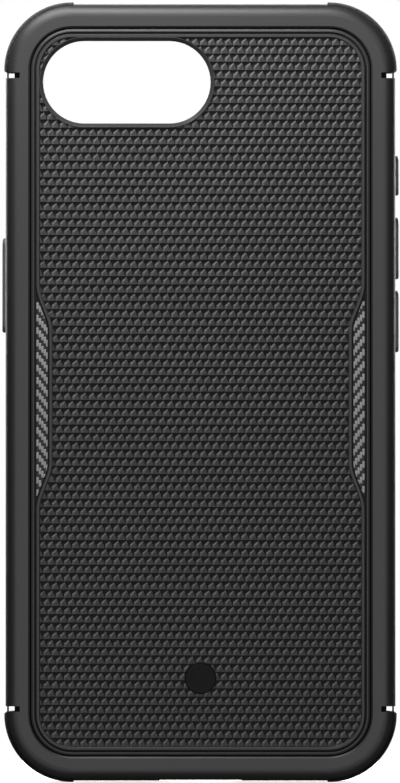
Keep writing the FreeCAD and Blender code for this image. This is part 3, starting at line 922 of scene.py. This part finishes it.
class PHONECASE_OT_stage(Operator):
    """Sets the floor, the soft studio lights, the white surround and the camera"""
    bl_idname = "phonecase.stage"
    bl_label = "Studio"

    def execute(self, context):
        s = context.scene.phonecase_stage
        scene = context.scene
        low, high = CAD_BOX
        middle = (low + high) / 2
        self.make_floor(s, low.z)
        self.make_lights(s, middle, Vector((0.0, low.y, high.z)))
        self.make_surround(scene, s.ambient)
        camera = bpy.data.objects.new("camera", bpy.data.cameras.new("camera"))
        camera.data.sensor_width = SENSOR_WIDTH
        camera.data.lens = SENSOR_WIDTH * s.camera_distance / s.view_height
        camera.data.clip_end = 50.0
        camera.location = Vector((middle.x, low.y - s.camera_distance, middle.z)) + Vector(s.camera_aim)
        camera.rotation_euler = (math.radians(90.0), 0.0, 0.0)
        scene.collection.objects.link(camera)
        scene.camera = camera
        scene.view_settings.view_transform = "Standard"
        return {"FINISHED"}

    def make_lights(self, s, middle, top):
        """Sets the four lights; the rake light reaches only the scales."""
        soft_light("key_light", s.key_power, s.key_width, s.key_height, s.key_place, top)
        soft_light("fill_light", s.fill_power, s.fill_size, s.fill_size, s.fill_place, middle)
        soft_light("rear_light", s.rear_power, s.rear_width, s.rear_height, s.rear_place, middle)
        rake = soft_light("rake_light", s.rake_power, s.rake_size, s.rake_size, s.rake_place, middle)
        raked = bpy.data.collections.new("raked_pieces")
        raked.objects.link(bpy.data.objects["scale_field"])
        rake.light_linking.receiver_collection = raked

    def make_floor(self, s, height):
        """A pale floor for the camera, which lets every other ray through."""
        half = s.floor_size / 2
        mesh = bpy.data.meshes.new("floor")
        corners = [(x, y, height) for x, y in ((-half, -half), (half, -half), (half, half), (-half, half))]
        mesh.from_pydata(corners, [], [(0, 1, 2, 3)])
        floor = new_object("floor", mesh)
        material, tree, surface = empty_material("floor_finish", s.floor_colour)
        cloudy = noise(tree, (-900, 0), scaled_coordinates(tree, (-1300, 0), even(40.0 * MM)), 3.0, 0.5)
        tint = s.floor_colour
        shade = colour_mix(tree, (-300, 200), cloudy, tinted(tint, 0.99), tinted(tint, 1.01))
        tree.links.new(shade, surface.inputs["Base Color"])
        surface.inputs["Roughness"].default_value = 0.8
        surface.inputs["Emission Color"].default_value = (1.0, 1.0, 1.0, 1.0)
        surface.inputs["Emission Strength"].default_value = s.floor_glow
        clear = shader(tree, "ShaderNodeBsdfTransparent", (600, -400))
        path = shader(tree, "ShaderNodeLightPath", (600, 300))
        seen = shader(tree, "ShaderNodeMixShader", (800, 100))
        tree.links.new(path.outputs["Is Camera Ray"], seen.inputs[0])
        tree.links.new(clear.outputs[0], seen.inputs[1])
        tree.links.new(surface.outputs[0], seen.inputs[2])
        output = next(node for node in tree.nodes if node.type == "OUTPUT_MATERIAL")
        tree.links.new(seen.outputs[0], output.inputs["Surface"])
        mesh.materials.append(material)

    def make_surround(self, scene, ambient):
        """White for the camera, and a dim glow on the pieces."""
        world = bpy.data.worlds.new("studio")
        world.use_nodes = True
        scene.world = world
        tree = world.node_tree
        tree.nodes.clear()
        dim = shader(tree, "ShaderNodeBackground", (0, 0), Color=(1.0, 1.0, 1.0, 1.0), Strength=ambient)
        white = shader(tree, "ShaderNodeBackground", (0, -200), Color=(1.0, 1.0, 1.0, 1.0), Strength=1.0)
        path = shader(tree, "ShaderNodeLightPath", (0, 300))
        mix = shader(tree, "ShaderNodeMixShader", (200, 0))
        output = shader(tree, "ShaderNodeOutputWorld", (400, 0))
        tree.links.new(path.outputs["Is Camera Ray"], mix.inputs[0])
        tree.links.new(dim.outputs[0], mix.inputs[1])
        tree.links.new(white.outputs[0], mix.inputs[2])
        tree.links.new(mix.outputs[0], output.inputs["Surface"])


# ---------------------------------------------------------------- panel and registration

class PHONECASE_PT_panel(Panel):
    """Lists the pieces and the studio"""
    bl_idname = "PHONECASE_PT_panel"
    bl_label = "Phone Case"
    bl_space_type = "VIEW_3D"
    bl_region_type = "UI"
    bl_category = "Phone Case"

    def draw(self, context):
        scene = context.scene
        for settings in (scene.phonecase_finish, scene.phonecase_scales, scene.phonecase_weave,
                         scene.phonecase_liner, scene.phonecase_stage):
            box = self.layout.box()
            for name in settings.__annotations__:
                box.prop(settings, name)
        for operator in OPERATORS:
            self.layout.operator(operator.bl_idname)


SETTINGS = {
    "phonecase_scales": PhoneCaseScaleSettings,
    "phonecase_weave": PhoneCaseWeaveSettings,
    "phonecase_liner": PhoneCaseLinerSettings,
    "phonecase_finish": PhoneCaseFinishSettings,
    "phonecase_stage": PhoneCaseStageSettings,
}
OPERATORS = (
    PHONECASE_OT_shell,
    PHONECASE_OT_guards,
    PHONECASE_OT_plate,
    PHONECASE_OT_buttons,
    PHONECASE_OT_scales,
    PHONECASE_OT_weave,
    PHONECASE_OT_liner,
    PHONECASE_OT_stage,
)


def register():
    """Adds the settings, operators and panel."""
    for settings in SETTINGS.values():
        bpy.utils.register_class(settings)
    for name, settings in SETTINGS.items():
        setattr(bpy.types.Scene, name, PointerProperty(type=settings))
    for operator in OPERATORS:
        bpy.utils.register_class(operator)
    bpy.utils.register_class(PHONECASE_PT_panel)


def unregister():
    """Takes the panel, operators and settings away again."""
    bpy.utils.unregister_class(PHONECASE_PT_panel)
    for operator in reversed(OPERATORS):
        bpy.utils.unregister_class(operator)
    for name, settings in SETTINGS.items():
        delattr(bpy.types.Scene, name)
        bpy.utils.unregister_class(settings)


def main():
    """Makes everything in order."""
    register()
    bpy.ops.phonecase.shell()
    bpy.ops.phonecase.guards()
    bpy.ops.phonecase.plate()
    bpy.ops.phonecase.buttons()
    bpy.ops.phonecase.scales()
    bpy.ops.phonecase.weave()
    bpy.ops.phonecase.liner()
    bpy.ops.phonecase.stage()


if __name__ == "__main__":
    main()
